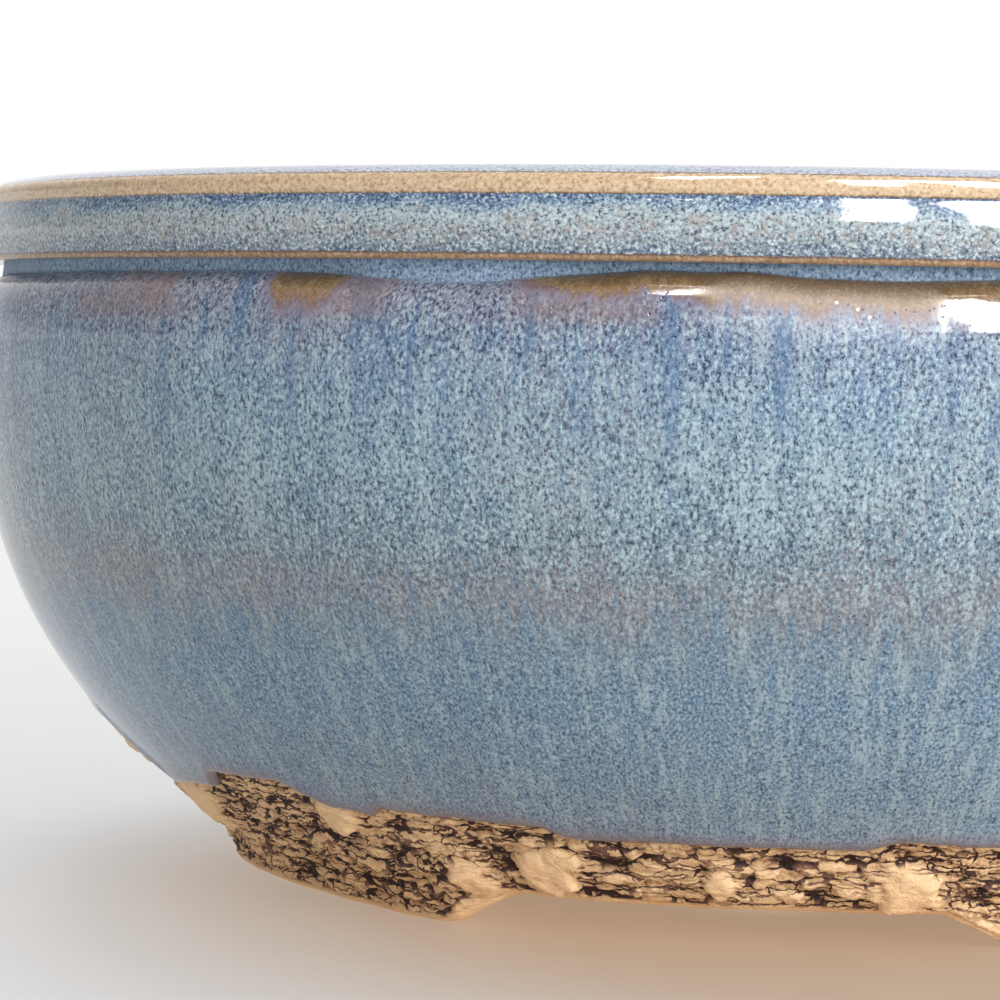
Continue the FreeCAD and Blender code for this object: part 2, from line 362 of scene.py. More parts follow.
def arc_points(start, end, bulge, count):
    """Points from start up to but not including end, on an arc that bulges to the right of the way."""
    start, end = np.array(start), np.array(end)
    way = end - start
    length = np.linalg.norm(way)
    right = np.array([way[1], -way[0]]) / length
    share = np.arange(count)[:, None] / count
    if abs(bulge) < 1e-6:
        return start + way * share
    radius = (length ** 2 / 4 + bulge ** 2) / (2 * bulge)
    half = math.asin(length / 2 / radius)
    angle = half * (2 * share - 1)
    along = way / length * radius * np.sin(angle)
    across = right * (radius * np.cos(angle) - (radius - bulge))
    return (start + end) / 2 + along + across


RIM_COLUMNS = 900


def rim_profile():
    """The glazed rim's section from the neck under the collar to the inside of the lip, in short steps."""
    start = (72.9, 52.85)
    # Where each stretch ends, how far it bulges and how many points it has
    stretches = (
        ((74.6, 52.95), 0, 5),
        ((74.85, 53.4), 0.12, 5),
        ((74.6, 57.6), 0.45, 23),
        ((74.62, 57.75), -0.03, 2),
        ((74.5, 59.25), 0.34, 12),
        ((71.3, 60.0), 0.25, 12),
        ((65.75, 56.8), 0.85, 16),
    )
    points = []
    for end, bulge, count in stretches:
        points.append(arc_points(start, end, bulge, count))
        start = end
    return np.concatenate(points)


def inner_profile(height, offset):
    """The radius of the inside above the belly, for a coat that stands off the clay by the offset."""
    sweep = INNER_SHOULDER_SWEEP - offset
    return INNER_TOP_CENTRE + np.sqrt(sweep ** 2 - (height - BELLY_HEIGHT) ** 2)


def rim_breaks(profile):
    """Where the rim's glaze breaks to tan, on the bead and on the lower arris, and where the lip starts."""
    radius, height = profile[None, :, 0], profile[None, :, 1]
    bead = smoothstep(57.7, 57.95, height) * (1 - smoothstep(59.2, 59.45, height))
    arris = smoothstep(74.3, 74.5, radius) * (1 - smoothstep(53.3, 53.55, height))
    return (bead + 0.62 * arris) * (radius > 70.5), smoothstep(59.3, 59.7, height)


def rim_glaze():
    """The coat of glaze over the collar, from under it up over the bead and the lip and down inside."""
    theta = azimuths(RIM_COLUMNS)
    profile = rim_profile()
    ring = around_axis(74.0, 0.0, theta)
    wobble = 0.12 * noise(ring, 30.0, 51) + 0.04 * noise(ring, 7.0, 52)
    radius = profile[None, :, 0] + wobble
    height = profile[None, :, 1] + 0.0 * theta
    place = around_axis(radius, height, theta)
    skin = 0.035 * noise(place, (3.0, 3.0, 1.6), 53) + 0.02 * noise(place, (1.1, 1.1, 0.8), 54)
    radius = radius + skin * smoothstep(52.8, 53.4, height)

    run = RIM_RUN_HEIGHT + 0.9 * rough(ring, 11.0, 55) + 0.3 * noise(ring, 3.0, 56)
    share = np.linspace(0, 1, 16)[None, :]
    inner_height = blend(LIP_END_HEIGHT, run, share)
    coat = 0.5 * np.sqrt(1 - np.clip((share - 0.88) / 0.12, 0, 1) ** 2)
    back_height = blend(run, LIP_END_HEIGHT - 0.3, np.linspace(0, 1, 8)[None, 1:])
    collar = np.array([(69.0, 58.6), (71.5, 59.0), (73.4, 58.4), (73.4, 54.6), (72.2, 53.6)])
    within = [inner_profile(inner_height, coat), inner_profile(back_height, -0.3), collar[None, :, 0]]
    radius = np.concatenate([radius, *(stretch + wobble for stretch in within)], axis=1)
    height = np.concatenate([height, inner_height, back_height, collar[None, :, 1] + 0.0 * theta], axis=1)

    thin, lip = rim_breaks(profile)
    unseen = ((0, 0), (0, radius.shape[1] - len(profile)))
    fields = {
        "height": height,
        "thin": np.pad(thin, unseen) + 0 * theta,
        "lip": np.pad(lip, unseen, constant_values=1) + 0 * theta,
        "flow": around_axis(radius, way_along(radius, height, profile[0, 1]), theta),
    }
    return ring_mesh("glaze_rim", around_axis(radius, height, theta), fields)


BAND_COLUMNS = 1380
BAND_ROWS = 46


def arch_share(radius, theta):
    """How far a point is under an arch, as the height that the arch leaves, from 0 to 1."""
    share = np.zeros(np.broadcast(radius, theta).shape)
    for azimuth in ARCH_AZIMUTHS:
        turn = theta - math.radians(azimuth)
        side = np.where(np.cos(turn) > 0, np.abs(radius * np.sin(turn)), 99.0)
        cut = (ARCH_HALF_WIDTH_GROUND - side) / (ARCH_HALF_WIDTH_GROUND - ARCH_HALF_WIDTH_TOP)
        share = np.maximum(share, np.clip(cut, 0, 1))
    return share


def clay_radius(height):
    """The outside of the clay, down the wall's arc and then steeply down the feet."""
    wall = WALL_CENTRE + np.sqrt(CLAY_SWEEP ** 2 - (np.maximum(height, ARCH_HEIGHT) - BELLY_HEIGHT) ** 2)
    return wall - (ARCH_HEIGHT - np.minimum(height, ARCH_HEIGHT)) * 0.5


def worn(place, theta):
    """Where the rough clay is worn smooth, from 0 to 1."""
    edge = 0.9 * noise(place, (1.6, 1.6, 1.2), 91) + 0.5 * noise(place, (0.7, 0.7, 0.6), 92)
    found = np.zeros(place.shape[:-1])
    for azimuth, height, size in WORN_LUMPS:
        turn = (view_azimuth(theta) - azimuth + 180) % 360 - 180
        away = np.hypot(np.radians(turn) * 54.0, (place[..., 2] - height) * 1.1) / size
        found = np.maximum(found, 1 - smoothstep(0.65, 1.15, away + 0.35 * edge))
    return found


def bark(place, smooth):
    """Relief of the rough clay in mm: torn level flakes between deep fissures, and worn lumps."""
    warp = np.stack([noise(place, (2.4, 2.4, 1.6), 61 + axis) for axis in range(3)], axis=-1)
    bent = place + warp * (0.9, 0.9, 0.45)
    inside, step = cells(bent, (4.4, 4.4, 1.2), 71)
    chip_inside, chip = cells(bent, (1.5, 1.5, 0.75), 75)
    level = bent[..., 2] / 1.25
    long = smoothstep(-0.3, 0.3, noise(place, (8, 8, 1.4), 79))
    beds = np.exp(-((level - np.round(level)) / 0.18) ** 2) * long
    flakes = 0.44 * (step - 0.35) - 0.30 * np.exp(-(inside / 0.07) ** 2) - 0.12 * (step < 0.1)
    chips = 0.26 * (chip - 0.35) - 0.20 * np.exp(-(chip_inside / 0.10) ** 2) - 0.10 * (chip < 0.12)
    torn = flakes + chips - 0.42 * beds + 0.05
    lump = 0.80 + 0.30 * noise(place, 2.2, 83) + 0.50 * chips
    return blend(torn, lump, smooth) + 0.08 * rough(place, (1.3, 1.3, 0.8), 84)


def foot_outside(theta, edge, bottom, bulge):
    """The bark-like outside of the foot from under the glaze down, with its relief and where it is worn."""
    height = blend(edge + 1.2, bottom, np.linspace(0, 1, BAND_ROWS)[None, :])
    radius = clay_radius(height) + bulge * smoothstep(9.0, 3.0, height)
    place = around_axis(radius, height, theta)
    up = height - bottom
    under_arch = arch_share(FOOT_RADIUS, theta)
    arch_end = 4 * under_arch * (1 - under_arch) * smoothstep(1.8, 0.6, up)
    smooth = np.maximum(worn(place, theta), np.maximum(smoothstep(0.7, 0.2, up), arch_end))
    relief = bark(place, smooth)

    tuck = smoothstep(0.2, 1.0, edge + 0.9 - height)
    off_ground = smoothstep(0, 1.0, up)
    out = np.clip(relief, -0.9, 1.4) * tuck * blend(0.3, 1.0, off_ground) - 0.45 * (1 - tuck)
    lean = wall_lean(np.maximum(height, ARCH_HEIGHT))
    rise = out * np.sin(lean) * off_ground
    outside = around_axis(radius + out * np.cos(lean), np.maximum(height + rise, bottom), theta)
    return outside, relief, smooth


def foot_underside(theta, outer_radius):
    """What the feet stand on and the arches' ceilings, as far in as the feet go."""
    radius = blend(outer_radius, FOOT_INNER_RADIUS, np.linspace(0, 1, 12)[None, 1:-1])
    height = ARCH_HEIGHT * arch_share(radius, theta)
    place = around_axis(radius, height, theta)
    height = height + (0.18 + 0.18 * rough(place, 2.2, 97)) * (height > 0.3)
    return around_axis(radius, height, theta)


def foot_inside(theta):
    """The inner face of the feet and the ring, up to the floor."""
    bottom = ARCH_HEIGHT * arch_share(FOOT_INNER_RADIUS, theta)
    height = blend(bottom + 0.3, FLOOR_UNDERSIDE, np.linspace(0, 1, 6)[None, :])
    uneven = 0.1 * noise(around_axis(LEDGE_RADIUS, height, theta), 4.0, 98)
    return around_axis(LEDGE_RADIUS + uneven, height, theta)


def foot_band():
    """The rough ring and the three feet that the arches leave of it, closed inside the clay."""
    theta = azimuths(BAND_COLUMNS)
    bottom = ARCH_HEIGHT * arch_share(FOOT_RADIUS, theta)
    bulge = along_curve(theta, FOOT_BULGE) + 0.3 * noise(around_axis(52.0, 0.0, theta), 6.0, 65)
    outside, relief, smooth = foot_outside(theta, glaze_edge(theta), bottom, bulge)
    seat = np.array([(47.9, 5.05), (47.9, 9.2), (54.0, 9.6)])
    loops = closed_loops(BAND_COLUMNS, outside, foot_underside(theta, clay_radius(bottom) + bulge - 0.6),
                         foot_inside(theta), seat)
    unseen = ((0, 0), (0, loops.shape[1] - BAND_ROWS))
    fields = {
        "relief": np.pad(relief, unseen, constant_values=0.3),
        "smooth": np.pad(smooth, unseen, constant_values=1),
    }
    return ring_mesh("foot_rough", loops, fields)


WALL_COLUMNS = 640


def inner_section():
    """The inside's section: the heel's fillet from the floor, the wall's arc and the shoulder."""
    reach = INNER_SWEEP - HEEL_FILLET
    drop = BELLY_HEIGHT - FLOOR_TOP - HEEL_FILLET
    heel_centre = WALL_CENTRE + math.sqrt(reach ** 2 - drop ** 2)
    heel_lean = math.asin(drop / reach)
    heel = np.linspace(math.pi / 2, heel_lean, 14)[:-1]
    wall = np.linspace(-heel_lean, 0, 42)[:-1]
    top_height = np.linspace(BELLY_HEIGHT, 56.0, 12)
    stretches = (
        (heel_centre + HEEL_FILLET * np.cos(heel), FLOOR_TOP + HEEL_FILLET - HEEL_FILLET * np.sin(heel)),
        (WALL_CENTRE + INNER_SWEEP * np.cos(wall), BELLY_HEIGHT + INNER_SWEEP * np.sin(wall)),
        (inner_profile(top_height, 0), top_height),
    )
    return np.concatenate([np.stack(stretch, axis=-1) for stretch in stretches])


def inner_wall():
    """The thrown inside of the bowl, closed behind the glaze."""
    theta = azimuths(WALL_COLUMNS)
    section = inner_section()
    radius, height = section[None, :, 0], section[None, :, 1]
    place = around_axis(radius, height, theta)
    spiral = height + THROWING_PITCH * theta / (2 * np.pi)
    rings = THROWING_DEPTH * np.sin(spiral * 2 * np.pi / THROWING_PITCH) * smoothstep(11.5, 17, height)
    uneven = 0.25 * noise(place, (22, 22, 14), 101) + 0.08 * noise(place, (6, 6, 3), 102)
    out = (rings + uneven) * smoothstep(11.1, 14, height) * (1 - smoothstep(45.5, 47, height))
    back = np.array([
        (71.0, 56.0), (71.5, 50.0), (72.6, 46.0), (69.5, 30.0), (62.5, 17.0), (56.5, 10.4), (49.0, 9.9),
    ])
    loops = closed_loops(WALL_COLUMNS, around_axis(radius + out, height, theta), back)
    return ring_mesh("wall_inside", loops, {})


# Materials --------------------------------------------------------------------------------------------

def srgb(red, green, blue):
    """A colour as it is seen on a screen, 0 to 255, as the linear numbers that a shader takes."""
    linear = [((c / 255 + 0.055) / 1.055) ** 2.4 if c > 10 else c / 255 / 12.92 for c in (red, green, blue)]
    return (*linear, 1.0)


class Shader:
    """A material whose nodes are added and linked in one call each."""

    def __init__(self, name):
        self.material = bpy.data.materials.new(name)
        self.material.use_nodes = True
        self.tree = self.material.node_tree
        self.tree.nodes.clear()
        self.surface = self.add("ShaderNodeBsdfPrincipled")
        output = self.add("ShaderNodeOutputMaterial")
        self.tree.links.new(self.surface.outputs[0], output.inputs[0])

    def add(self, kind, inputs=None, **settings):
        node = self.tree.nodes.new(kind)
        for key, value in settings.items():
            setattr(node, key, value)
        for key, value in (inputs or {}).items():
            self.feed(node.inputs[key], value)
        return node

    def feed(self, socket, value):
        if isinstance(value, bpy.types.NodeSocket):
            self.tree.links.new(value, socket)
        else:
            socket.default_value = value

    def finish(self, **inputs):
        for key, value in inputs.items():
            self.feed(self.surface.inputs[key.replace("_", " ").title().replace("Ior", "IOR")], value)
        return self.material

    def attribute(self, name, output="Fac"):
        return self.add("ShaderNodeAttribute", attribute_name=name).outputs[output]

    def position(self):
        """The place on the piece, in millimetres."""
        place = self.add("ShaderNodeTexCoord").outputs["Object"]
        return self.stretch(place, (1000, 1000, 1000))

    def stretch(self, vector, factors):
        return self.vector("MULTIPLY", vector, factors)

    def math(self, operation, first, second=0.0):
        return self.add("ShaderNodeMath", {0: first, 1: second}, operation=operation).outputs[0]

    def times(self, first, *others):
        """The product of two or more values."""
        for other in others:
            first = self.math("MULTIPLY", first, other)
        return first

    def vector(self, operation, first, second, output=0):
        return self.add("ShaderNodeVectorMath", {0: first, 1: second}, operation=operation).outputs[output]

    def span(self, value, low, high, to_low=0.0, to_high=1.0):
        """Maps a stretch of values smoothly on to another."""
        inputs = {"Value": value, "From Min": low, "From Max": high, "To Min": to_low, "To Max": to_high}
        return self.add("ShaderNodeMapRange", inputs, interpolation_type="SMOOTHSTEP").outputs[0]

    def noise(self, vector, size, detail=2.0, roughness=0.5):
        inputs = {"Vector": vector, "Scale": 1 / size, "Detail": detail, "Roughness": roughness}
        return self.add("ShaderNodeTexNoise", inputs).outputs["Fac"]

    def cells(self, vector, size, feature="F1", output="Distance"):
        inputs = {"Vector": vector, "Scale": 1 / size}
        return self.add("ShaderNodeTexVoronoi", inputs, feature=feature).outputs[output]

    def mix(self, share, first, second):
        node = self.add("ShaderNodeMix", data_type="RGBA")
        self.feed(node.inputs[0], share)
        self.feed(node.inputs[6], first)
        self.feed(node.inputs[7], second)
        return node.outputs[2]

    def ramp(self, value, stops):
        node = self.add("ShaderNodeValToRGB", {0: value})
        elements = node.color_ramp.elements
        while len(elements) < len(stops):
            elements.new(1.0)
        for element, (position, colour) in zip(elements, stops):
            element.position = position
            element.color = colour
        return node.outputs[0]

    def bump(self, height, distance, strength=1.0, normal=None):
        inputs = {"Height": height, "Distance": distance * MM, "Strength": strength}
        if normal is not None:
            inputs["Normal"] = normal
        return self.add("ShaderNodeBump", inputs).outputs[0]


def mottled(shader, base, value, light, dark, strength):
    """Light flecks where the value is high and dark ones where it is low."""
    colour = shader.mix(shader.span(value, 0.50, 0.68, 0.0, strength), base, light)
    return shader.mix(shader.span(value, 0.50, 0.32, 0.0, strength), colour, dark)


def pinholes(shader, flow, size, radius):
    """1 inside small round holes, in about half of the cells of the size given."""
    cell = shader.cells(flow, size)
    chosen = shader.cells(flow, size, output="Color")
    pick = shader.math("GREATER_THAN", shader.add("ShaderNodeSeparateColor", {0: chosen}).outputs[0], 0.5)
    return shader.math("MULTIPLY", shader.span(cell, radius, radius * 0.4), pick)


def streak_noises(shader, flow):
    """The noises that the wall's glaze is painted with, from long runs to fine grain."""
    return {
        "clouds": shader.noise(shader.stretch(flow, (1, 1, 0.6)), 9.0, 2.0),
        "runs": shader.noise(shader.stretch(flow, (1, 1, 0.10)), 2.6, 3.0, 0.6),
        "drips": shader.noise(shader.stretch(flow, (1, 1, 0.20)), 0.8, 2.0, 0.6),
        "streaky": shader.noise(shader.stretch(flow, (1, 1, 0.70)), 0.27, 2.0, 0.7),
        "grainy": shader.noise(shader.stretch(flow, (1, 1, 0.85)), 0.25, 2.0, 0.7),
    }


def run_level(shader, height, noises):
    """The height that a place's glaze ran down from, which sets its colour."""
    sway = shader.math("ADD", shader.times(noises["runs"], 8.0), shader.times(noises["drips"], 5.0))
    return shader.math("SUBTRACT", shader.math("ADD", height, sway), 6.5)


def streaked_blue(shader, level, noises):
    """The wall's blue: bands by level, runs of deeper blue, and light and dark flecks."""
    zones = shader.ramp(shader.times(level, 1 / 60), [
        (9.0 / 60, srgb(126, 146, 166)),
        (12.0 / 60, srgb(120, 146, 168)),
        (21.0 / 60, srgb(109, 137, 160)),
        (25.5 / 60, srgb(114, 132, 147)),
        (28.7 / 60, srgb(122, 130, 137)),
        (32.0 / 60, srgb(118, 136, 148)),
        (37.5 / 60, srgb(131, 154, 167)),
        (43.5 / 60, srgb(122, 147, 168)),
        (47.0 / 60, srgb(122, 138, 163)),
        (50.5 / 60, srgb(138, 134, 154)),
    ])
    drift = shader.times(shader.math("SUBTRACT", noises["runs"], 0.5), 0.6)
    patches = shader.math("ADD", noises["drips"], drift)
    zones = mottled(shader, zones, patches, srgb(168, 190, 197), srgb(84, 124, 156), 0.42)
    upper = mottled(shader, zones, noises["streaky"], srgb(176, 197, 204), srgb(32, 54, 78), 0.95)
    lower = mottled(shader, zones, noises["grainy"], srgb(166, 184, 195), srgb(46, 68, 86), 0.85)
    colour = shader.mix(shader.span(level, 20.0, 34.0), lower, upper)
    deep = shader.times(shader.span(noises["runs"], 0.46, 0.33), shader.span(level, 34.0, 44.0), 0.45)
    return shader.mix(deep, colour, srgb(72, 102, 144))


def rust_share(shader, flow, height, level, noises):
    """How much rust shows through the blue: in a band below the middle and a blush under the crease."""
    band = shader.times(shader.span(noises["clouds"], 0.40, 0.66, 0.25, 1.0),
                        shader.span(level, 34.0, 29.0), shader.span(level, 24.0, 28.0))
    rust = shader.math("MAXIMUM", band, shader.span(noises["clouds"], 0.5, 0.7, 0.0, 0.5))
    specks = shader.span(shader.noise(flow, 0.30, 2.0, 0.7), 0.50, 0.62, 0.05, 0.64)
    blush = shader.times(shader.span(noises["clouds"], 0.46, 0.62), shader.span(height, 47.4, 49.6), 0.55)
    return shader.math("MAXIMUM", shader.times(rust, specks), blush)


def broken_to_tan(shader, blue, dull, noises):
    """Breaks the blue to lilac, rust and tan where the glaze is thin, along a frayed line."""
    thin = shader.attribute("thin")
    fray = shader.math("ADD", shader.times(noises["drips"], 0.9), shader.times(noises["streaky"], 0.5))
    fray = shader.times(shader.math("SUBTRACT", fray, 0.7), shader.span(thin, 0.0, 0.25))
    ragged = shader.math("ADD", thin, fray)
    tan = shader.ramp(ragged, [
        (0.15, srgb(136, 140, 168)),
        (0.34, srgb(142, 132, 152)),
        (0.52, srgb(132, 110, 106)),
        (0.70, srgb(150, 122, 86)),
        (1.0, srgb(116, 92, 60)),
    ])
    tan = shader.mix(shader.times(dull, 0.40), tan, srgb(112, 82, 48))
    tan = mottled(shader, tan, noises["grainy"], srgb(190, 172, 158), srgb(84, 68, 72), 0.30)
    return shader.mix(shader.span(ragged, 0.02, 0.60), blue, tan)


def wall_glaze_material():
    shader = Shader("streaked_blue_glaze")
    flow = shader.attribute("flow", "Vector")
    height = shader.attribute("height")
    below = shader.attribute("below")
    dull = shader.attribute("dull")
    noises = streak_noises(shader, flow)
    level = run_level(shader, height, noises)
    colour = streaked_blue(shader, level, noises)
    colour = shader.mix(rust_share(shader, flow, height, level, noises), colour, srgb(146, 120, 114))
    colour = broken_to_tan(shader, colour, dull, noises)
    # The neck is painted lighter than the wall's blue: painted light that brightens it in the shade of the
    # collar.
    neck = srgb(134, 160, 186)
    neck = mottled(shader, neck, noises["grainy"], srgb(184, 202, 212), srgb(46, 66, 100), 0.9)
    colour = shader.mix(shader.span(below, 0.15, -0.1), colour, neck)
    holes = shader.math("MAXIMUM", pinholes(shader, flow, 1.1, 0.13), pinholes(shader, flow, 0.55, 0.19))
    colour = shader.mix(shader.times(holes, 0.8), colour, srgb(46, 42, 58))
    edge = shader.span(shader.attribute("edge"), 3.0, 0.2, 0.0, 0.8)
    colour = shader.mix(edge, colour, srgb(122, 110, 120))

    glints = pinholes(shader, flow, 0.9, 0.2)
    dull = shader.math("MAXIMUM", dull, shader.span(below, 0.3, -0.1))
    dull = shader.times(dull, shader.span(glints, 0.2, 0.8, 1.0, 0.0))
    roughness = shader.span(dull, 0.0, 1.0, 0.10, 0.58)
    normal = shader.bump(shader.noise(flow, 1.2, 2.0), 0.05, 0.3)
    normal = shader.bump(shader.math("SUBTRACT", 1.0, holes), 0.05, 0.6, normal)
    return shader.finish(base_color=colour, roughness=roughness, ior=1.5, normal=normal)


def rim_blue(shader, flow, height):
    """The rim's blue: palest in the middle of the roll and over the lip, with rusty blots."""
    drift = shader.times(shader.math("SUBTRACT", shader.noise(flow, 4.0, 2.0), 0.5), 2.0)
    level = shader.math("ADD", height, drift)
    zones = shader.ramp(shader.times(shader.math("SUBTRACT", level, 45), 1 / 15), [
        (0.0, srgb(92, 108, 128)),
        (8.0 / 15, srgb(92, 110, 136)),
        (8.6 / 15, srgb(116, 130, 144)),
        (10.2 / 15, srgb(156, 166, 170)),
        (11.2 / 15, srgb(172, 184, 188)),
        (11.9 / 15, srgb(138, 160, 178)),
        (12.4 / 15, srgb(104, 130, 160)),
        (12.8 / 15, srgb(82, 104, 142)),
        (14.2 / 15, srgb(170, 176, 190)),
    ])
    fine = shader.noise(flow, 0.27, 2.0, 0.7)
    colour = mottled(shader, zones, fine, srgb(200, 215, 218), srgb(40, 64, 92), 0.95)
    colour = shader.mix(shader.times(shader.attribute("lip"), 0.4), colour, srgb(164, 168, 188))
    blots = shader.span(shader.noise(flow, 0.7, 2.0), 0.50, 0.68, 0.0, 0.45)
    middle = shader.times(shader.span(level, 53.6, 54.6), shader.span(level, 57.0, 56.2))
    return shader.mix(shader.times(blots, middle), colour, srgb(160, 142, 130))


def rim_glaze_material():
    shader = Shader("rim_blue_glaze")
    flow = shader.attribute("flow", "Vector")
    height = shader.attribute("height")
    grain = shader.math("SUBTRACT", shader.noise(flow, 0.35, 3.0, 0.65), 0.5)
    ragged = shader.math("ADD", shader.attribute("thin"), shader.times(grain, 0.9))
    tan = shader.ramp(ragged, [
        (0.15, srgb(60, 52, 84)),
        (0.36, srgb(96, 68, 52)),
        (0.62, srgb(148, 118, 88)),
        (0.95, srgb(212, 184, 150)),
    ])
    specks = shader.noise(flow, 0.32, 2.0, 0.7)
    on_bead = shader.span(height, 56.0, 57.8, 0.15, 0.65)
    tan = mottled(shader, tan, specks, srgb(234, 214, 182), srgb(150, 116, 84), on_bead)
    colour = shader.mix(shader.span(ragged, 0.10, 0.34), rim_blue(shader, flow, height), tan)
    holes = pinholes(shader, flow, 0.9, 0.11)
    colour = shader.mix(shader.times(holes, 0.7), colour, srgb(56, 44, 48))
    normal = shader.bump(shader.noise(flow, 0.9, 2.0), 0.04, 0.25)
    return shader.finish(base_color=colour, roughness=0.08, ior=1.5, normal=normal)


def clay_splits(shader, place, bent):
    """Where the rough clay is split, from 0 to 1: uneven cracks, long level seams and torn spots, which the
    colour darkens with the oxide in them and with painted shade.
    """
    flat = shader.stretch(bent, (0.6, 0.6, 2.0))
    width = shader.span(shader.noise(place, 1.6, 2.0), 0.36, 0.66, 0.02, 0.12)
    gap = shader.math("SUBTRACT", shader.cells(flat, 1.7, "DISTANCE_TO_EDGE"), width)
    narrow = shader.math("SUBTRACT", width, 0.02)
    hair = shader.math("SUBTRACT", shader.cells(flat, 0.8, "DISTANCE_TO_EDGE"), narrow)
    level = shader.add("ShaderNodeSeparateXYZ", {0: bent}).outputs["Z"]
    wavy = shader.math("ADD", level, shader.times(shader.noise(place, 5.0), 1.6))
    seam = shader.math("PINGPONG", wavy, 0.55)
    length = shader.noise(shader.stretch(place, (0.2, 0.2, 1.0)), 0.9)
    patches = shader.noise(shader.stretch(bent, (0.3, 0.3, 1.0)), 0.8, 1.0)
    kinds = (
        shader.span(gap, 0.02, -0.01),
        shader.span(hair, 0.03, -0.01, 0.0, 0.35),
        shader.times(shader.span(seam, 0.11, 0.04), shader.span(length, 0.42, 0.52)),
        shader.span(patches, 0.60, 0.65, 0.0, 0.32),
    )
    splits = kinds[0]
    for kind in kinds[1:]:
        splits = shader.math("MAXIMUM", splits, kind)
    return splits


def rough_clay_material():
    shader = Shader("bark_clay")
    place = shader.position()
    sway = shader.add("ShaderNodeTexNoise", {"Vector": place, "Scale": 1.1, "Detail": 2.0}).outputs["Color"]
    sway = shader.stretch(shader.vector("SUBTRACT", sway, (0.5, 0.5, 0.5)), (1.6, 1.6, 0.9))
    splits = clay_splits(shader, place, shader.vector("ADD", place, sway))
    splits = shader.times(splits, shader.span(shader.attribute("smooth"), 0.2, 0.9, 1.0, 0.35))
    grain = shader.times(shader.math("SUBTRACT", shader.noise(place, 0.20, 3.0, 0.65), 0.5), 0.4)
    lifted = shader.math("ADD", shader.attribute("relief"), grain)
    lifted = shader.math("SUBTRACT", lifted, shader.times(splits, 0.7))
    # The colour runs from dark in the low places and the splits to light tan on the high ones: the oxide in
    # the clay's hollows and its worn tops, and painted shade in the cracks.
    colour = shader.ramp(shader.math("ADD", lifted, 0.755), [
        (0.0, srgb(54, 36, 33)),
        (0.16, srgb(102, 74, 66)),
        (0.30, srgb(146, 111, 88)),
        (0.45, srgb(212, 172, 130)),
        (0.95, srgb(248, 212, 166)),
    ])
    return shader.finish(base_color=colour, roughness=0.82, normal=shader.bump(lifted, 0.20, 1.0))


def clay_material():
    shader = Shader("fired_clay")
    place = shader.position()
    cloud = shader.noise(place, 14.0, 3.0)
    grain = shader.noise(place, 0.5, 3.0, 0.7)
    colour = shader.mix(shader.span(cloud, 0.3, 0.7), srgb(196, 160, 118), srgb(176, 138, 98))
    colour = shader.mix(shader.span(grain, 0.62, 0.74, 0.0, 0.7), colour, srgb(112, 80, 56))
    return shader.finish(base_color=colour, roughness=0.85, normal=shader.bump(grain, 0.10, 0.6))


def dress(piece, material):
    piece.data.materials.clear()
    piece.data.materials.append(material)


# Stage ------------------------------------------------------------------------------------------------

# The table's radius and the place that the lights point at, in metres
TABLE_RADIUS = 6.0
LIGHT_TARGET = (0.0, 0.0, 0.04)
# How far from its middle the painted warm shadow and glow on the table end, and how far they are full
PAINTED_GLOW_REACH = (92.0, 36.0)


def floor():
    """A pale table, faintly lit from within, that is level far past the camera's view, and round the pot
    painted darker and glowing warm: a painted warm shadow and painted bounced light.
    """
    bpy.ops.mesh.primitive_circle_add(vertices=96, radius=TABLE_RADIUS, fill_type="NGON")
    table = bpy.context.object
    table.name = "table"
    shader = Shader("pale_table")
    place = shader.position()
    away = shader.vector("DISTANCE", place, PAINTED_GLOW_CENTRE, "Value")
    near = shader.span(away, *PAINTED_GLOW_REACH)
    # Painted shade: round the pot the table's colour is darker and warmer, a painted warm shadow.
    tone = shader.mix(near, srgb(137, 137, 138), srgb(124, 110, 99))
    cloudy = shader.span(shader.noise(place, 6.0, 3.0), 0.3, 0.7, 0.0, 0.1)
    tone = shader.mix(cloudy, tone, srgb(120, 118, 116))
    # Painted light: the table glows faintly all over, and warmer round the pot, in place of the light that
    # the clay bounces on to it.
    glow = shader.mix(near, (0.45, 0.445, 0.44, 1.0), (0.36, 0.26, 0.18, 1.0))
    dress(table, shader.finish(base_color=tone, roughness=0.6, specular_ior_level=0.2,
                               emission_color=glow, emission_strength=1.0))


def facing(world_tree, direction, span):
    """A share set by how directly a place on the sky lies in a direction, mapped smoothly by the span."""
    nodes, links = world_tree.nodes, world_tree.links
    along = nodes.new("ShaderNodeVectorMath")
    along.operation = "DOT_PRODUCT"
    along.inputs[1].default_value = direction
    links.new(nodes.new("ShaderNodeTexCoord").outputs["Generated"], along.inputs[0])
    share = nodes.new("ShaderNodeMapRange")
    share.interpolation_type = "SMOOTHSTEP"
    for socket, value in zip(share.inputs[1:5], span):
        socket.default_value = value
    links.new(along.outputs["Value"], share.inputs[0])
    return share.outputs[0]


def studio():
    """White surroundings that dim towards one side, from a little above the horizon up."""
    world = bpy.data.worlds.new("studio")
    bpy.context.scene.world = world
    world.use_nodes = True
    tree = world.node_tree
    turn = math.radians(CAMERA_AZIMUTH + SHADE_AZIMUTH)
    sideways = facing(tree, (math.cos(turn), math.sin(turn), 0.0), (-0.2, 0.9, 1.0, SHADE_LEVEL))
    low_down = facing(tree, (0.0, 0.0, 1.0), (0.04, 0.16, 1.0, 0.0))
    brighter = tree.nodes.new("ShaderNodeMath")
    brighter.operation = "MAXIMUM"
    tree.links.new(sideways, brighter.inputs[0])
    tree.links.new(low_down, brighter.inputs[1])
    background = tree.nodes["Background"]
    background.inputs["Color"].default_value = (1.0, 1.0, 1.0, 1.0)
    tree.links.new(brighter.outputs[0], background.inputs["Strength"])


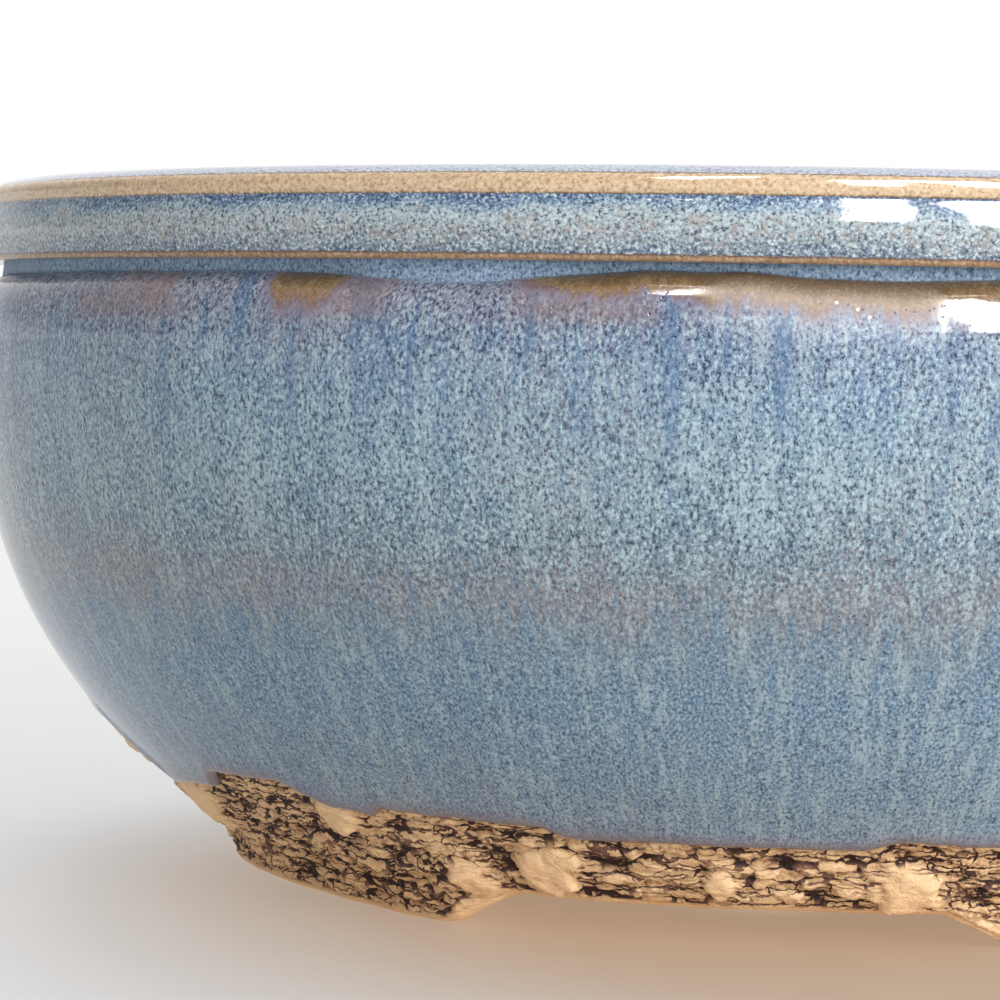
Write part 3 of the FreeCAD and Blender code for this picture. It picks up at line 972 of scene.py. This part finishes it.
def area_light(name, place, size, power, shines=True):
    """A soft light aimed at the pot: it shows as a highlight if it shines, or else lights the colours."""
    light = bpy.data.lights.new(name, "AREA")
    light.shape = "RECTANGLE"
    light.size, light.size_y = size
    light.energy = power
    holder = bpy.data.objects.new(name, light)
    holder.location = place
    aim = Vector(LIGHT_TARGET) - Vector(place)
    holder.rotation_euler = aim.to_track_quat("-Z", "Y").to_euler()
    holder.visible_diffuse = not shines
    holder.visible_glossy = shines
    bpy.context.scene.collection.objects.link(holder)


def place_light(azimuth, elevation, distance):
    """The place in metres, from degrees rightwards of the camera's side, degrees up and a distance."""
    turn, lift = math.radians(CAMERA_AZIMUTH + azimuth), math.radians(elevation)
    level = distance * math.cos(lift)
    return (level * math.cos(turn), level * math.sin(turn), distance * math.sin(lift))


def lights():
    area_light("window_right", place_light(25, 43, 0.9), (0.13, 0.84), 12.5)
    area_light("window_front", place_light(9, 41, 0.9), (0.085, 0.60), 10.0)
    area_light("window_left", place_light(-22, 64, 0.9), (0.08, 0.44), 3.4)
    area_light("key", place_light(42, 15, 2.7), (1.5, 1.5), 63.0, shines=False)
    area_light("back", place_light(185, 50, 2.5), (1.5, 1.25), 40.6, shines=False)


def camera():
    turn = math.radians(CAMERA_AZIMUTH)
    place = Vector((math.cos(turn), math.sin(turn), 0)) * CAMERA_DISTANCE * MM
    place.z = CAMERA_HEIGHT * MM
    heading = Matrix.Rotation(turn + math.pi / 2 + CAMERA_YAW, 4, "Z")
    tilt = Matrix.Rotation(math.pi / 2 - CAMERA_PITCH, 4, "X")
    roll = Matrix.Rotation(CAMERA_ROLL, 4, "Z")
    data = bpy.data.cameras.new("camera")
    data.lens = CAMERA_LENS
    data.sensor_width = 36.0
    data.clip_start = 0.01
    data.clip_end = 50
    eye = bpy.data.objects.new("camera", data)
    eye.matrix_world = Matrix.Translation(place) @ heading @ tilt @ roll
    bpy.context.scene.collection.objects.link(eye)
    bpy.context.scene.camera = eye


def add_piece(piece, material, slot, *nodes):
    """Gives a piece its material, sets it on the pot and has it stand for the frame's nodes."""
    dress(piece, material)
    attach(piece, "root")
    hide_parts(*nodes)


def main():
    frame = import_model()
    clay = clay_material()
    add_piece(wall_glaze(), wall_glaze_material(), "blue_glaze", "wall_glaze")
    add_piece(rim_glaze(), rim_glaze_material(), "rim_glaze", "rim_glaze")
    foot_nodes = ("foot_ring", "foot_left", "foot_right", "foot_back")
    add_piece(foot_band(), rough_clay_material(), "rough_clay", *foot_nodes)
    add_piece(inner_wall(), clay, "bare_clay", "bowl_wall")
    for node in ("rim_collar", "floor_slab"):
        dress(frame["nodes"][node], clay)

    floor()
    studio()
    lights()
    camera()
    bpy.context.scene.view_settings.view_transform = "Standard"


main()
